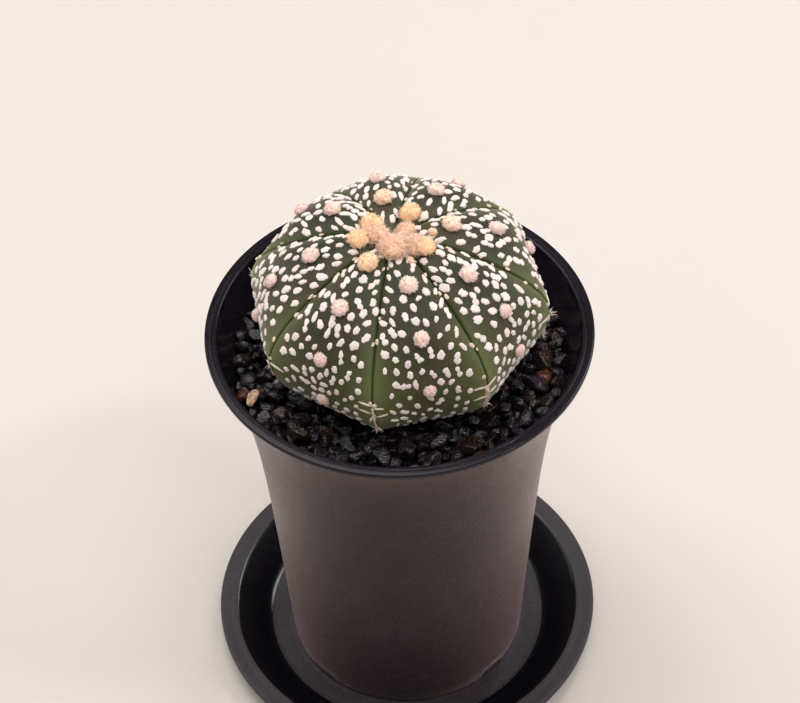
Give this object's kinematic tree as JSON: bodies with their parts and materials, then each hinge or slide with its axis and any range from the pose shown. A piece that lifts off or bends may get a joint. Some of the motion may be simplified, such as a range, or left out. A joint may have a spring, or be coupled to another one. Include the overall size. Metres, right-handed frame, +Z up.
{
  "type": "potted star cactus",
  "caption": "Low domed ribbed star cactus with woolly tufts, in a flared black plastic pot with dark gravel, standing in a round saucer.",
  "frame": {"origin": "middle of the saucer's flat underside", "axes": "+Z up along the pot's axis, -Y towards the front"},
  "size_m": [0.1084, 0.1084, 0.155],
  "materials": {
    "pot_plastic": "charcoal, fine matte speckle, semi-gloss lip",
    "saucer_plastic": "black, satin",
    "stem_skin": "grey-green waxy skin with felted white flecks",
    "wool": "dense pinkish-cream wool",
    "lava": "rough black lava gravel with small glints",
    "tan_stone": "smooth tan pebble",
    "potting_mix": "gritty brown growing mix, hidden under the gravel"
  },
  "bodies": {
    "root": {"areole_rib1_1": "wool", "areole_rib1_2": "wool", "areole_rib1_3": "wool", "areole_rib2_1": "wool", "areole_rib2_2": "wool", "areole_rib2_3": "wool", "areole_rib3_1": "wool", "areole_rib3_2": "wool", "areole_rib3_3": "wool", "areole_rib4_1": "wool", "areole_rib4_2": "wool", "areole_rib4_3": "wool", "areole_rib5_1": "wool", "areole_rib5_2": "wool", "areole_rib5_3": "wool", "areole_rib6_1": "wool", "areole_rib6_2": "wool", "areole_rib6_3": "wool", "areole_rib7_1": "wool", "areole_rib7_2": "wool", "areole_rib7_3": "wool", "areole_rib8_1": "wool", "areole_rib8_2": "wool", "areole_rib8_3": "wool", "cactus_stem": "stem_skin", "crown_wool": "wool", "gravel_bed": "lava", "loose_stone_01": "lava", "loose_stone_02": "lava", "loose_stone_03": "lava", "loose_stone_04": "lava", "loose_stone_05": "lava", "loose_stone_06": "lava", "loose_stone_07": "lava", "loose_stone_08": "lava", "loose_stone_09": "lava", "loose_stone_10": "lava", "loose_stone_11": "lava", "loose_stone_12": "lava", "loose_stone_13": "lava", "loose_stone_14": "lava", "loose_stone_15": "tan_stone", "loose_stone_16": "lava", "pot": "pot_plastic", "potting_mix": "potting_mix", "saucer": "saucer_plastic"}
  },
  "joints": []
}
